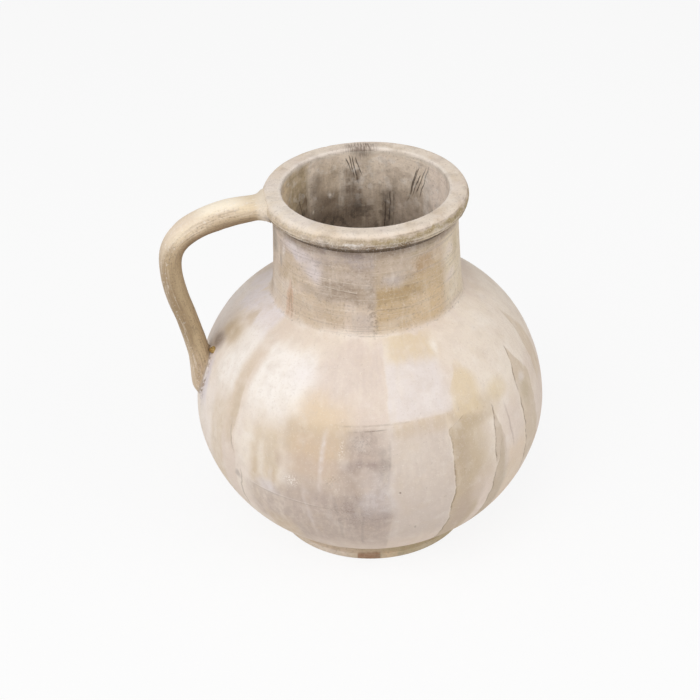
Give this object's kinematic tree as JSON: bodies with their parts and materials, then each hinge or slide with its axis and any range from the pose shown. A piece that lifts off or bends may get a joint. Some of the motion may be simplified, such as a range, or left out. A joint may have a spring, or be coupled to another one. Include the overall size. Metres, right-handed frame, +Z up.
{
  "type": "clay vase",
  "caption": "Round-bellied clay vase with a collar neck, rolled rim, pad foot and one pulled strap handle; holds stems and stands on its flat foot.",
  "frame": {"origin": "centre of the foot's flat underside, on the axis that the body is turned about", "axes": "+Z up along the turning axis; the handle lies towards -X in the plane Y = 0"},
  "size_m": [0.2999, 0.28, 0.298],
  "materials": {
    "body_clay": "matt, whitewashed buff clay, worn",
    "rim_clay": "matt, beige wash rubbed thin",
    "handle_clay": "matt, khaki wash with fine drag lines",
    "foot_clay": "matt, bare olive-tan clay",
    "slip": "matt, amber slip"
  },
  "bodies": {
    "root": {"foot": "foot_clay", "lower_bowl": "body_clay", "shoulder": "body_clay", "neck": "body_clay", "rim": "rim_clay", "handle_root": "handle_clay", "handle": "handle_clay", "handle_tail": "handle_clay", "slip_dab": "slip"}
  },
  "joints": []
}
